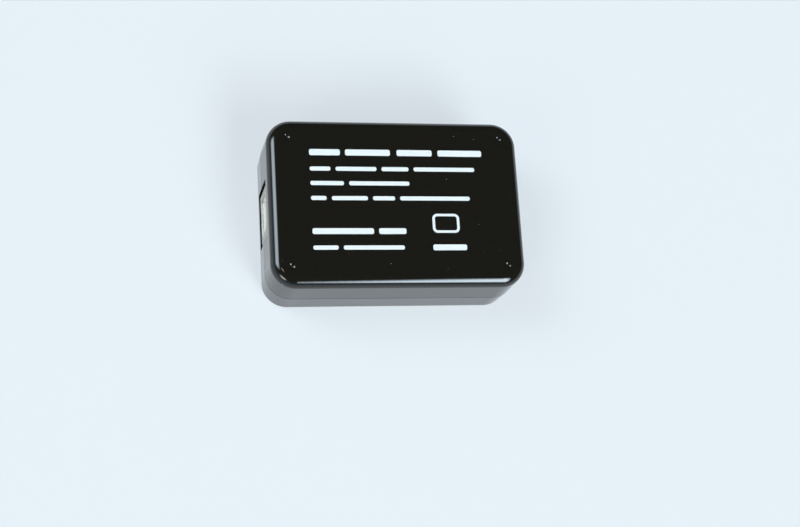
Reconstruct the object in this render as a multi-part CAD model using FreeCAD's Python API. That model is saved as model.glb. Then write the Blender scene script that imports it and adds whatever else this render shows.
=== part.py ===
"""USB isolator: a small two-part moulded case with a type B socket at its -X end and a type A
socket at its +X end, and the isolating circuit board between them.

Millimetres. The origin is the centre of the base, +Z is up, +X runs from the computer's socket
to the device's socket, and -Y is the long side that faces the reader of the lid.
"""
import math
import os

import FreeCAD, Part
from FreeCAD import Vector

# Case
case_length = 60.0
case_width = 40.5
socket_headroom = 3.1
parting_height = 8.9
corner_radius = 6.0
crown_radius = 2.3
foot_radius = 0.5
draft_degrees = 1.2
side_wall = 1.8
roof_wall = 1.8
floor_wall = 1.5
seam_chamfer = 0.12
lip_thickness = 0.8
lip_height = 1.5
lip_gap = 0.1
roof_blend = 0.8

# Screw bosses, their sink marks, and the board's supports
boss_inset = 4.8
boss_diameter = 5.2
boss_rib = 0.8
sink_diameter = 1.5
sink_depth = 0.22
post_wall = 1.0
fin_thickness = 1.0
fin_reach = 1.8
fins_per_side = 3
rib_thickness = 1.2
rib_width = 9.0
rib_gap = 0.3

# Case screws
screw_diameter = 2.6
screw_length = 12.0
screw_head_diameter = 4.6
screw_head_height = 1.4
screw_head_gap = 0.3
screw_head_sink = 0.2
screw_head_bevel = 0.6
screw_thread_gap = 0.02
screw_point = 1.2
screw_point_diameter = 0.9
screw_hole_reserve = 0.6
recess_span = 2.5
recess_blade = 0.55
recess_depth = 1.0
recess_taper = 0.6

# Circuit board
board_thickness = 1.6
board_lift = 0.9
board_gap = 0.35
hole_gap = 0.1
screw_hole_gap = 0.3
lead_reach = 0.7
isolation_slot_width = 1.6
isolation_slot_length = 9.0

# Type B socket
b_width = 12.04
b_height = 10.9
b_depth = 16.2
b_sheet = 0.35
b_bend = 0.5
b_mouth_width = 8.45
b_mouth_height = 7.78
b_mouth_corner = 1.6
b_mouth_round = 0.2
b_cavity_depth = 9.0
b_tongue_width = 5.6
b_tongue_height = 3.18
b_tongue_recess = 1.0
b_tongue_round = 0.3
b_contact_pitch = 2.5
b_contact_width = 0.8
b_contact_thickness = 0.3
b_rear_pin = 15.0
b_pin_rows = 2.0
b_peg_place = 8.6
b_peg_width = 2.4
b_back_opening_length = 8.0
b_back_opening_height = 3.6
b_spring_length = 4.6
b_spring_width = 2.0
b_spring_start = 2.4
b_recess = 0.25
b_window_side = 0.83
b_window_over = 0.4
b_window_under = 2.0

# Type A socket
a_width = 13.1
a_height = 5.72
a_depth = 14.0
a_sheet = 0.3
a_corner = 0.6
a_lift = 0.64
a_flare_length = 0.9
a_flare_rise = 0.6
a_flare_notch = 0.5
a_cavity_depth = 11.6
a_tongue_width = 11.1
a_tongue_thickness = 1.84
a_tongue_drop = 0.7
a_tongue_recess = 1.7
a_contact_pitch = 2.25
a_contact_width = 0.9
a_contact_thickness = 0.25
a_contact_bow = 0.55
a_contact_bow_start = 2.4
a_contact_bow_length = 5.0
a_tongue_chamfer = 0.35
a_pin_place = 12.8
a_back_opening_height = 1.9
a_foot_height = 2.4
a_peg_place = 10.1
a_peg_width = 2.0
a_shoulder_width = 4.0
a_spring_length = 5.5
a_spring_width = 2.4
a_spring_pitch = 5.6
a_spring_start = 2.6
a_recess = 0.25
a_window_side = 0.6
a_window_over = 0.6
a_window_under = 0.6

# Socket springs
spring_slot = 0.35
spring_rise = 0.35
spring_lift = 0.25
spring_root = 0.7
spring_lip = 1.4

# Isolator chip
chip_length = 10.3
chip_width = 7.5
chip_height = 2.35
chip_stand_off = 0.2
chip_draft = 0.28
chip_lead_span = 10.3
chip_lead_pitch = 1.27
chip_leads_per_side = 8
chip_lead_width = 0.42
chip_lead_thickness = 0.25
chip_foot = 0.8
chip_mark_diameter = 1.0
chip_mark_depth = 0.1
chip_mark_inset = 1.2

# Isolating power converter
converter_length = 19.5
converter_width = 7.2
converter_height = 10.2
converter_wall = 0.7
converter_stand_off = 0.5
converter_pin_pitch = 2.54
converter_end_inset = 2.13
converter_input_pins = 2
converter_output_pins = 3
converter_pin_width = 0.5
converter_pin_thickness = 0.25
converter_pin_inset = 1.6
converter_pin_root = 2.0

# Bulk capacitors
can_diameter = 6.3
input_can_height = 5.8
output_can_height = 7.7
can_from_barrier = 7.0
can_base_height = 1.1
can_base_margin = 0.15
can_crimp_height = 1.3
can_crimp_depth = 0.25
can_crimp_width = 0.6
can_shoulder = 0.5
can_base_cut = 1.2
tab_width = 0.7
tab_thickness = 0.2
tab_length = 1.0
tab_inner_gap = 1.8

# Small parts on the board
small_gap = 0.02
socket_gap = 0.6
part_gap = 0.6
surge_length = 2.9
surge_width = 1.6
surge_height = 1.1
surge_span = 2.8
surge_lead_pitch = 0.95
surge_lead_width = 0.4
surge_lead_thickness = 0.15
surge_foot = 0.4
surge_lean = 0.1
surge_stand_off = 0.05
chip_part_length = 2.0
chip_part_width = 1.25
resistor_height = 0.5
ceramic_height = 0.9
bead_length = 3.2
bead_width = 1.6
bead_height = 1.1
fuse_length = 4.5
fuse_width = 3.2
fuse_height = 0.9
end_cap = 0.35
end_cap_skin = 0.03
choke_length = 2.6
choke_width = 2.2
choke_height = 1.5
choke_groove = 0.3
choke_waist = 1.3

# What follows from the sizes above
draft = math.tan(math.radians(draft_degrees))
board_bottom = floor_wall + board_lift
board_top = board_bottom + board_thickness
boss_x = case_length / 2 - boss_inset
boss_y = case_width / 2 - boss_inset
boss_places = [(sx * boss_x, sy * boss_y) for sx in (-1, 1) for sy in (-1, 1)]
counterbore_depth = screw_head_height + screw_head_sink
counterbore_radius = screw_head_diameter / 2 + screw_head_gap
post_radius = counterbore_radius + post_wall
screw_tip = counterbore_depth + screw_length
case_height = board_top + b_height + socket_headroom + roof_wall
lead_bottom = -(board_thickness + lead_reach)
b_mouth_x = -case_length / 2 + b_recess
a_mouth_x = case_length / 2 - a_recess
b_back = b_mouth_x + b_depth
a_back = a_mouth_x - a_depth
b_mouth_low = (b_height - b_mouth_height) / 2
a_height_over_board = a_lift + a_height
chip_x = (b_back + a_back) / 2
converter_y = a_width / 2 + socket_gap + converter_width / 2
can_half = can_diameter / 2 + can_base_margin
bank_y = -(a_width / 2 + socket_gap + can_half)
resistor_y = surge_length / 2 + part_gap + chip_part_width / 2
ceramic_y = resistor_y + chip_part_width + part_gap
board_half_length = case_length / 2 - draft * (parting_height - board_bottom) - side_wall - board_gap
board_half_width = case_width / 2 - draft * (parting_height - board_bottom) - side_wall - board_gap
board_corner = corner_radius - side_wall - board_gap


def wall_inset(z):
    """How far the drafted outer wall stands in from its line at the seam, at height z."""
    return draft * abs(z - parting_height)


def block(x0, x1, y0, y1, z0, z1):
    """A box between two opposite corners."""
    return Part.makeBox(x1 - x0, y1 - y0, z1 - z0, Vector(x0, y0, z0))


def cylinder(radius, x, y, z0, z1):
    """An upright cylinder."""
    return Part.makeCylinder(radius, z1 - z0, Vector(x, y, z0))


def outline(half_x, half_y, radius, z):
    """A rounded rectangle, as a closed wire at height z."""
    edges = []
    turn = math.sqrt(0.5)
    corners = ((1, 1), (-1, 1), (-1, -1), (1, -1))
    arcs = []
    for sx, sy in corners:
        cx = sx * (half_x - radius)
        cy = sy * (half_y - radius)
        ends = [Vector(cx + sx * radius, cy, z), Vector(cx, cy + sy * radius, z)]
        if sx * sy < 0:
            ends.reverse()
        middle = Vector(cx + sx * radius * turn, cy + sy * radius * turn, z)
        arcs.append((ends[0], middle, ends[1]))
    for arc, following in zip(arcs, arcs[1:] + arcs[:1]):
        edges.append(Part.Arc(*arc).toShape())
        edges.append(Part.LineSegment(arc[2], following[0]).toShape())
    return Part.Wire(edges)


def case_block(offset, z0, z1):
    """The case's drafted outline, taken in by offset, as a solid between two heights."""
    wires = []
    for z in (z0, z1):
        inset = offset + wall_inset(z)
        wires.append(outline(case_length / 2 - inset, case_width / 2 - inset, corner_radius - inset, z))
    return Part.makeLoft(wires, True, True)


def straight_block(offset, z0, z1):
    """The case's outline at the seam, taken in by offset, as an upright solid."""
    wire = outline(case_length / 2 - offset, case_width / 2 - offset, corner_radius - offset, z0)
    return Part.Face(wire).extrude(Vector(0, 0, z1 - z0))


def edges_at(shape, z):
    """The edges of a shape that lie level at height z."""
    found = []
    for edge in shape.Edges:
        bounds = edge.BoundBox
        if abs(bounds.ZMin - z) < 1e-4 and abs(bounds.ZMax - z) < 1e-4:
            found.append(edge)
    return found


def tapered(half_x, half_y, inset, z0, z1):
    """A block centred on the axis whose sides lean in by inset from z0 to z1."""
    wires = []
    for lean, z in ((0, z0), (inset, z1)):
        x = half_x - lean
        y = half_y - lean
        corners = [Vector(-x, -y, z), Vector(x, -y, z), Vector(x, y, z), Vector(-x, y, z)]
        wires.append(Part.makePolygon(corners + corners[:1]))
    return Part.makeLoft(wires, True, True)


def strip(points, thickness, width, bend):
    """A bent metal strip. points are the (x, z) corners of its middle line, bend is the inner
    radius at each corner, zero for a sharp fold, and width runs along Y, centred on Y = 0."""
    half = thickness / 2
    line = [Vector(x, -width / 2, z) for x, z in points]
    along = [(b - a).normalize() for a, b in zip(line, line[1:])]
    left = [Vector(-d.z, 0, d.x) for d in along]
    sides = {}
    for side in (1, -1):
        pieces = [(line[0] + left[0] * half * side,)]
        for i in range(1, len(line) - 1):
            if bend == 0:
                both = left[i - 1] + left[i]
                pieces.append((line[i] + both * (half * side / (1 + left[i - 1].dot(left[i]))),))
                continue
            turn = along[i - 1].x * along[i].z - along[i - 1].z * along[i].x
            sign = 1 if turn > 0 else -1
            angle = math.acos(max(-1.0, min(1.0, along[i - 1].dot(along[i]))))
            radius = bend + half
            reach = radius * math.tan(angle / 2)
            start = line[i] - along[i - 1] * reach
            end = line[i] + along[i] * reach
            centre = start + left[i - 1] * radius * sign
            outward = (line[i] - centre).normalize()
            own_radius = radius - half * side * sign
            pieces.append((
                start + left[i - 1] * half * side,
                centre + outward * own_radius,
                end + left[i] * half * side,
            ))
        pieces.append((line[-1] + left[-1] * half * side,))
        sides[side] = pieces
    back = [tuple(reversed(piece)) for piece in reversed(sides[-1])]
    edges = []
    round_trip = sides[1] + back
    for piece, following in zip(round_trip, round_trip[1:] + round_trip[:1]):
        if len(piece) == 3:
            edges.append(Part.Arc(*piece).toShape())
        if piece[-1].distanceToPoint(following[0]) > 1e-7:
            edges.append(Part.LineSegment(piece[-1], following[0]).toShape())
    return Part.Face(Part.Wire(edges)).extrude(Vector(0, width, 0))


def moved(shape, x=0.0, y=0.0, z=0.0, turn=0.0):
    """A copy of a shape, turned about the Z axis in degrees and then moved."""
    copy = shape.copy()
    copy.rotate(Vector(0, 0, 0), Vector(0, 0, 1), turn)
    copy.translate(Vector(x, y, z))
    return copy


def joined(shapes):
    """Solids that touch or overlap, as one clean solid."""
    first, rest = shapes[0], shapes[1:]
    return first.fuse(rest).removeSplitter()


def group(shapes):
    """Separate solids that share a node."""
    return Part.makeCompound(shapes)


def profile_across(points, depth):
    """A prism along +X from x = 0, whose (y, z) outline is given."""
    wire = Part.makePolygon([Vector(0, y, z) for y, z in points + points[:1]])
    return Part.Face(wire).extrude(Vector(depth, 0, 0))


# Case

def socket_windows():
    """The two cut-outs in the end walls, which take in both halves of the case."""
    reach = side_wall * 2
    b_half = b_width / 2 + b_window_side
    a_half = a_width / 2 + a_flare_rise + a_window_side
    b_window = block(
        -case_length / 2 - reach, -case_length / 2 + reach, -b_half, b_half,
        board_top - b_window_under, board_top + b_height + b_window_over)
    a_window = block(
        case_length / 2 - reach, case_length / 2 + reach, -a_half, a_half,
        board_top + a_lift - a_flare_rise - a_window_under,
        board_top + a_height_over_board + a_flare_rise + a_window_over)
    return [b_window, a_window]


def hold_down_ribs():
    """Ribs under the roof that stop short of each socket and keep it from lifting."""
    ribs = []
    top = case_height - roof_wall / 2
    for x, low in (
        (b_mouth_x + b_peg_place, board_top + b_height),
        (a_mouth_x - a_peg_place, board_top + a_height_over_board),
    ):
        ribs.append(block(
            x - rib_thickness / 2, x + rib_thickness / 2, -rib_width / 2, rib_width / 2,
            low + rib_gap, top))
    return ribs


def boss(x, y):
    """A screw boss under the roof, with a rib to each of the two walls beside it."""
    top = case_height - roof_wall / 2
    rib_low = parting_height + lip_height + lip_gap
    xs = sorted((x, math.copysign(case_length / 2, x)))
    ys = sorted((y, math.copysign(case_width / 2, y)))
    return [
        cylinder(boss_diameter / 2, x, y, board_top, top),
        block(xs[0], xs[1], y - boss_rib / 2, y + boss_rib / 2, rib_low, top),
        block(x - boss_rib / 2, x + boss_rib / 2, ys[0], ys[1], rib_low, top),
    ]


def top_cover():
    """The deep upper half: rounded crown, rabbet for the lip, bosses and hold-down ribs."""
    outer = case_block(0, parting_height, case_height)
    outer = outer.makeFillet(crown_radius, edges_at(outer, case_height))
    outer = outer.makeChamfer(seam_chamfer, edges_at(outer, parting_height))
    ceiling = case_height - roof_wall
    room = case_block(side_wall, parting_height, ceiling)
    room = room.makeFillet(roof_blend, edges_at(room, ceiling))
    rabbet = straight_block(
        side_wall - lip_thickness - lip_gap, parting_height, parting_height + lip_height + lip_gap)
    shell = outer.cut([room, rabbet])
    lip_top = parting_height + lip_height + lip_gap
    in_cover = case_block(side_wall / 2, lip_top, case_height - roof_wall / 2)
    in_both = case_block(side_wall + lip_gap, board_top, lip_top)
    boss_room = joined([in_cover, in_both])
    inside = []
    for x, y in boss_places:
        inside += [piece.common(boss_room) for piece in boss(x, y)]
    inside.extend(hold_down_ribs())
    cover = joined([shell] + inside)
    holes = []
    sink_radius = (sink_diameter ** 2 / 4 + sink_depth ** 2) / (2 * sink_depth)
    for x, y in boss_places:
        holes.append(cylinder(
            screw_diameter / 2 + screw_thread_gap, x, y, board_top, screw_tip + screw_hole_reserve))
        holes.append(Part.makeSphere(
            sink_radius, Vector(x, y, case_height + sink_radius - sink_depth)))
    return cover.cut(holes + socket_windows())


def bottom_cover():
    """The shallow lower half: floor, lip, screw posts and the fins that carry the board."""
    outer = case_block(0, 0, parting_height)
    outer = outer.makeFillet(foot_radius, edges_at(outer, 0))
    outer = outer.makeChamfer(seam_chamfer, edges_at(outer, parting_height))
    room = case_block(side_wall, floor_wall, parting_height)
    room = room.makeFillet(roof_blend, edges_at(room, floor_wall))
    shell = outer.cut(room)
    lip = straight_block(side_wall - lip_thickness, parting_height - side_wall, parting_height + lip_height)
    lip = lip.cut(straight_block(side_wall, parting_height - side_wall, parting_height + lip_height))
    lip = lip.makeChamfer(lip_gap, edges_at(lip, parting_height + lip_height))
    within = case_block(side_wall / 2, floor_wall / 2, parting_height)
    inside = [lip]
    for x, y in boss_places:
        inside.append(cylinder(post_radius, x, y, floor_wall / 2, board_bottom).common(within))
    fin_room = 2 * (boss_x - post_radius)
    for side in (-1, 1):
        for i in range(fins_per_side):
            x = fin_room * ((i + 0.5) / fins_per_side - 0.5)
            ys = sorted((side * case_width / 2, side * (board_half_width + board_gap - fin_reach)))
            fin = block(
                x - fin_thickness / 2, x + fin_thickness / 2, ys[0], ys[1], floor_wall / 2, board_bottom)
            inside.append(fin.common(within))
    cover = joined([shell] + inside)
    holes = []
    for x, y in boss_places:
        holes.append(cylinder(counterbore_radius, x, y, -foot_radius, counterbore_depth))
        holes.append(cylinder(
            screw_diameter / 2 + screw_hole_gap, x, y, 0, board_bottom + foot_radius))
    return cover.cut(holes + socket_windows())


def case_screws():
    """Four pan-head screws with a bevelled rim, driven up from the base, with a cross recess."""
    head_low = counterbore_depth - screw_head_height
    head = cylinder(screw_head_diameter / 2, 0, 0, head_low, counterbore_depth)
    head = head.makeChamfer(screw_head_bevel, edges_at(head, head_low))
    shank = cylinder(screw_diameter / 2, 0, 0, counterbore_depth, screw_tip - screw_point)
    point = Part.makeCone(
        screw_diameter / 2, screw_point_diameter / 2, screw_point, Vector(0, 0, screw_tip - screw_point))
    screw = joined([head, shank, point])
    recess = []
    for turn in (0, 90):
        blade = block(
            -recess_span / 2, recess_span / 2, -recess_blade / 2, recess_blade / 2,
            head_low - recess_depth, head_low + recess_depth)
        ends = [e for e in edges_at(blade, head_low + recess_depth) if e.BoundBox.XLength < recess_blade]
        blade = blade.makeChamfer(recess_taper, ends)
        recess.append(moved(blade, turn=turn))
    screw = screw.cut(recess)
    return group([moved(screw, x, y) for x, y in boss_places])


# Sockets. Each is modelled with its mouth at x = 0, facing -X, standing on the board at z = 0.

def to_b(shape):
    """Moves a piece of the type B socket to its place."""
    return moved(shape, b_mouth_x, 0, board_top)


def to_a(shape):
    """Moves a piece of the type A socket to its place, facing the other way."""
    return moved(shape, a_mouth_x, 0, board_top, 180)


def spring(length, width, sheet):
    """A spring finger cut from a socket's roof: its root at x = length, its free end at x = 0,
    bowed down into the mouth, with its middle line at z = 0 where it joins the sheet."""
    points = [
        (length + spring_slot, 0),
        (length - spring_root, 0),
        (spring_lip, -spring_rise),
        (0, -spring_rise + spring_lift),
    ]
    return strip(points, sheet, width, sheet)


def spring_window(length, width, sheet):
    """The slot that a spring finger is cut from, around z = 0."""
    half = width / 2 + spring_slot
    return block(-spring_slot, length, -half, half, -sheet, sheet)


def b_mouth_points(grow):
    """The (y, z) outline of the type B mouth, with its two upper corners cut off."""
    half = b_mouth_width / 2 + grow
    low = b_mouth_low - grow
    high = b_mouth_low + b_mouth_height + grow
    cut = b_mouth_corner
    return [(-half, low), (half, low), (half, high - cut), (half - cut, high),
            (-half + cut, high), (-half, high - cut)]


def b_spring_sets():
    """Each spring finger of the type B shell with its slot: one in the roof, one in each side."""
    sets = []
    middle = b_mouth_low + b_mouth_height / 2
    for turn, y, z in ((0, 0, b_height - b_sheet / 2), (90, -b_width / 2 + b_sheet / 2, middle),
                       (-90, b_width / 2 - b_sheet / 2, middle)):
        pair = []
        for shape in (spring(b_spring_length, b_spring_width, b_sheet),
                      spring_window(b_spring_length, b_spring_width, b_sheet)):
            copy = shape.copy()
            copy.rotate(Vector(0, 0, 0), Vector(1, 0, 0), turn)
            copy.translate(Vector(b_spring_start, y, z))
            pair.append(copy)
        sets.append(pair)
    return sets


def b_pegs(grow_x=0.0, grow_y=0.0):
    """The two shield pegs of the type B shell, or the slots for them when grown."""
    pegs = []
    for side in (-1, 1):
        y = side * (b_width / 2 - b_sheet / 2)
        pegs.append(block(
            b_peg_place - b_peg_width / 2 - grow_x, b_peg_place + b_peg_width / 2 + grow_x,
            y - b_sheet / 2 - grow_y, y + b_sheet / 2 + grow_y, lead_bottom, b_sheet))
    return pegs


def type_b_shell():
    """The folded steel shell: roof, sides, a front with the mouth, a back flap and two pegs."""
    half = b_width / 2
    outer = block(0, b_depth, -half, half, 0, b_height)
    bends = [e for e in outer.Edges
             if e.BoundBox.ZMin > b_height - 1e-4 or (e.BoundBox.XMax < 1e-4 and e.BoundBox.ZLength > 1)]
    outer = outer.makeFillet(b_bend, bends)
    inner = block(
        b_sheet, b_depth - b_sheet, -half + b_sheet, half - b_sheet, -b_sheet, b_height - b_sheet)
    back_opening = block(
        b_depth - b_back_opening_length, b_depth + b_sheet, -half + 2 * b_sheet, half - 2 * b_sheet,
        -b_sheet, b_back_opening_height)
    mouth = profile_across(b_mouth_points(0), 2 * b_sheet)
    mouth.translate(Vector(-b_sheet / 2, 0, 0))
    shell = outer.cut([inner, back_opening, mouth])
    rims = [e for e in shell.Edges
            if e.BoundBox.XMax < 1e-4 and abs(e.BoundBox.YMin) < b_mouth_width / 2 + 1e-3
            and abs(e.BoundBox.YMax) < b_mouth_width / 2 + 1e-3
            and e.BoundBox.ZMin > b_mouth_low - 1e-3
            and e.BoundBox.ZMax < b_mouth_low + b_mouth_height + 1e-3]
    shell = shell.makeFillet(b_mouth_round, rims)
    springs = b_spring_sets()
    shell = shell.cut([window for finger, window in springs])
    return to_b(joined([shell] + [finger for finger, window in springs] + b_pegs()))


def b_contact_strips():
    """The four contacts of the type B socket: two on top of the tongue and two under it."""
    middle = b_mouth_low + b_mouth_height / 2
    first = b_tongue_recess + b_tongue_round + b_contact_thickness
    strips = []
    for level, row in ((1, b_rear_pin), (-1, b_rear_pin - b_pin_rows)):
        z = middle + level * (b_tongue_height / 2 - b_contact_thickness / 2)
        points = [(first, z), (row, z), (row, lead_bottom)]
        for side in (-1, 1):
            contact = strip(points, b_contact_thickness, b_contact_width, b_contact_thickness)
            strips.append(moved(contact, y=side * b_contact_pitch / 2))
    return strips


def type_b_insulator():
    """The moulded body inside the shell: the plug's cavity with its tongue, and the pin block."""
    half = b_width / 2 - b_sheet
    body = block(b_sheet, b_depth - b_sheet, -half, half, 0, b_height - b_sheet)
    cavity = profile_across(b_mouth_points(0), b_cavity_depth - b_sheet)
    cavity.translate(Vector(b_sheet, 0, 0))
    middle = b_mouth_low + b_mouth_height / 2
    tongue = block(
        b_tongue_recess, b_cavity_depth + b_sheet, -b_tongue_width / 2, b_tongue_width / 2,
        middle - b_tongue_height / 2, middle + b_tongue_height / 2)
    tongue = tongue.makeFillet(
        b_tongue_round, [e for e in tongue.Edges if e.BoundBox.XMax < b_tongue_recess + 1e-4])
    body = joined([body.cut(cavity), tongue])
    pockets = []
    for finger, window in b_spring_sets():
        slot = finger.BoundBox
        pockets.append(block(
            slot.XMin - spring_slot, slot.XMax, slot.YMin - spring_slot, slot.YMax + spring_slot,
            slot.ZMin - spring_slot, slot.ZMax + spring_slot))
    return to_b(body.cut(pockets + b_contact_strips()))


def type_b_contacts():
    """The four contacts in place."""
    return group([to_b(contact) for contact in b_contact_strips()])


def a_pegs(width, low, grow_x=0.0, grow_y=0.0):
    """The two shield pegs of the type A shell at a width, or the slots for them when grown."""
    pegs = []
    for side in (-1, 1):
        y = side * (a_width / 2 - a_sheet / 2)
        pegs.append(block(
            a_peg_place - width / 2 - grow_x, a_peg_place + width / 2 + grow_x,
            y - a_sheet / 2 - grow_y, y + a_sheet / 2 + grow_y, low, a_lift + a_corner + a_sheet))
    return pegs


def rounded_bar(half_y, z0, z1, radius, x0, x1):
    """A bar along X with a rounded rectangular section."""
    bar = block(x0, x1, -half_y, half_y, z0, z1)
    return bar.makeFillet(radius, [e for e in bar.Edges if e.BoundBox.XLength > (x1 - x0) / 2])


def flared_mouth():
    """The mouth of the type A shell: four lips that lean outwards, parted at the corners."""
    wires = {}
    for name, skin in (("outer", 0.0), ("inner", a_sheet)):
        pair = []
        for x, rise in ((0, a_flare_rise), (a_flare_length, 0)):
            y = a_width / 2 + rise - skin
            low = a_lift - rise + skin
            high = a_lift + a_height + rise - skin
            corners = [Vector(x, -y, low), Vector(x, y, low), Vector(x, y, high), Vector(x, -y, high)]
            pair.append(Part.makePolygon(corners + corners[:1]))
        wires[name] = Part.makeLoft(pair, True, True)
    notches = []
    for sy in (-1, 1):
        for sz in (-1, 1):
            y = sy * (a_width / 2 + a_flare_rise)
            z = a_lift + a_height / 2 + sz * (a_height / 2 + a_flare_rise)
            size = a_flare_rise + a_flare_notch
            notches.append(block(-a_sheet, a_flare_length, y - size, y + size, z - size, z + size))
    return wires["outer"].cut([wires["inner"]] + notches)


def a_spring_sets():
    """Each spring finger of the type A shell with its slot: two in the roof, two in the floor."""
    sets = []
    for turn, z in ((0, a_lift + a_height - a_sheet / 2), (180, a_lift + a_sheet / 2)):
        for side in (-1, 1):
            pair = []
            for shape in (spring(a_spring_length, a_spring_width, a_sheet),
                          spring_window(a_spring_length, a_spring_width, a_sheet)):
                copy = shape.copy()
                copy.rotate(Vector(0, 0, 0), Vector(1, 0, 0), turn)
                copy.translate(Vector(a_spring_start, side * a_spring_pitch / 2, z))
                pair.append(copy)
            sets.append(pair)
    return sets


def type_a_shell():
    """The folded steel shell: a tube with a flared mouth, spring fingers, a back and pegs."""
    half = a_width / 2
    top = a_lift + a_height
    outer = rounded_bar(half, a_lift, top, a_corner, a_flare_length, a_depth)
    inner = rounded_bar(
        half - a_sheet, a_lift + a_sheet, top - a_sheet, a_corner - a_sheet,
        a_flare_length - a_sheet, a_depth - a_sheet)
    pin_opening = block(
        a_cavity_depth, a_depth + a_sheet, -half + a_corner, half - a_corner,
        0, a_lift + a_back_opening_height)
    springs = a_spring_sets()
    tube = outer.cut([inner, pin_opening] + [window for finger, window in springs])
    pieces = [tube, flared_mouth()] + [finger for finger, window in springs]
    pieces += a_pegs(a_shoulder_width, 0) + a_pegs(a_peg_width, lead_bottom)
    return to_a(joined(pieces))


def a_tongue_levels():
    """The upper and lower faces of the type A tongue, above the board."""
    upper = a_lift + a_height - a_sheet - a_tongue_drop
    return upper, upper - a_tongue_thickness


def a_contact_strips():
    """The four contacts of the type A socket, bowed below the tongue and bent down at the back."""
    upper, lower = a_tongue_levels()
    z = lower + a_contact_thickness / 2
    tip = a_tongue_recess + a_contact_thickness
    points = [
        (tip, z),
        (tip + a_contact_bow_start, z - a_contact_bow),
        (tip + a_contact_bow_start + a_contact_bow_length, z),
        (a_pin_place, z),
        (a_pin_place, lead_bottom),
    ]
    contact = strip(points, a_contact_thickness, a_contact_width, a_contact_thickness)
    places = [a_contact_pitch * (i - 1.5) for i in range(4)]
    return [moved(contact, y=y) for y in places]


def type_a_insulator():
    """The moulded tongue and the pin block behind it, which stands on the board."""
    upper, lower = a_tongue_levels()
    half = a_width / 2 - a_sheet
    top = a_lift + a_height - a_sheet
    tongue = block(
        a_tongue_recess, a_cavity_depth + a_sheet, -a_tongue_width / 2, a_tongue_width / 2, lower, upper)
    tongue = tongue.makeChamfer(
        a_tongue_chamfer,
        [e for e in tongue.Edges if e.BoundBox.XMax < a_tongue_recess + 1e-4 and e.BoundBox.YLength > 1])
    rear = rounded_bar(
        half, a_lift + a_sheet, top, a_corner - a_sheet, a_cavity_depth, a_depth - a_sheet)
    foot_half = half - a_corner + a_sheet - small_gap
    foot = block(a_cavity_depth + small_gap, a_depth - a_sheet, -foot_half, foot_half, 0, a_foot_height)
    body = joined([tongue, rear, foot])
    grooves = []
    for i in range(4):
        y = a_contact_pitch * (i - 1.5)
        grooves.append(block(
            a_tongue_recess + a_contact_thickness, a_cavity_depth, y - a_contact_width / 2 - small_gap,
            y + a_contact_width / 2 + small_gap, lower - small_gap, lower + a_contact_thickness))
    return to_a(body.cut(grooves + a_contact_strips()))


def type_a_contacts():
    """The four contacts in place."""
    return group([to_a(contact) for contact in a_contact_strips()])


# Circuit board and what stands on it

def converter_pin_places_xy():
    """Where the converter's pins go through the board."""
    y = converter_y + converter_width / 2 - converter_pin_inset
    reach = converter_length / 2 - converter_end_inset
    inputs = [chip_x - reach + i * converter_pin_pitch for i in range(converter_input_pins)]
    outputs = [chip_x + reach - i * converter_pin_pitch for i in range(converter_output_pins)]
    return [(x, y) for x in inputs + outputs]


def circuit_board():
    """The board, with holes for screws, pins and pegs, and a slot under the isolator."""
    wire = outline(board_half_length, board_half_width, board_corner, board_bottom)
    board = Part.Face(wire).extrude(Vector(0, 0, board_thickness))
    holes = []
    low = board_bottom - hole_gap
    high = board_top + hole_gap
    for x, y in boss_places:
        holes.append(cylinder(screw_diameter / 2 + screw_hole_gap, x, y, low, high))
    b_hole = math.hypot(b_contact_width, b_contact_thickness) / 2 + hole_gap
    for row in (b_rear_pin, b_rear_pin - b_pin_rows):
        for side in (-1, 1):
            holes.append(cylinder(b_hole, b_mouth_x + row, side * b_contact_pitch / 2, low, high))
    a_hole = math.hypot(a_contact_width, a_contact_thickness) / 2 + hole_gap
    for i in range(4):
        y = a_contact_pitch * (i - 1.5)
        holes.append(cylinder(a_hole, a_mouth_x - a_pin_place, y, low, high))
    pin_hole = math.hypot(converter_pin_width, converter_pin_thickness) / 2 + hole_gap
    for x, y in converter_pin_places_xy():
        holes.append(cylinder(pin_hole, x, y, low, high))
    holes += [to_b(peg) for peg in b_pegs(hole_gap, hole_gap)]
    holes += [to_a(peg) for peg in a_pegs(a_peg_width, lead_bottom, hole_gap, hole_gap)]
    slot_half = isolation_slot_width / 2
    reach = isolation_slot_length / 2 - slot_half
    holes.append(block(chip_x - slot_half, chip_x + slot_half, -reach, reach, low, high))
    for side in (-1, 1):
        holes.append(cylinder(slot_half, chip_x, side * reach, low, high))
    return board.cut(holes)


def gull_lead(inner_x, span, middle_z, foot_length, thickness, width):
    """A lead that leaves a package at inner_x, steps down and ends in a foot at span / 2."""
    knee = span / 2 - foot_length
    points = [(inner_x, middle_z), (knee, middle_z), (knee, thickness / 2), (span / 2, thickness / 2)]
    return strip(points, thickness, width, 0)


def package(length, width, height, stand_off, lean):
    """A moulded package whose sides lean in above and below its middle, long side along Y."""
    middle = stand_off + height / 2
    upper = tapered(width / 2, length / 2, lean, middle, stand_off + height)
    lower = tapered(width / 2, length / 2, lean, middle, stand_off)
    return joined([upper, lower])


def lead_row(lead, pitch, count):
    """Copies of a lead down both sides of a package."""
    leads = []
    for i in range(count):
        y = pitch * (i - (count - 1) / 2)
        leads.append(moved(lead, y=y))
        leads.append(moved(lead, y=y, turn=180))
    return leads


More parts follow.
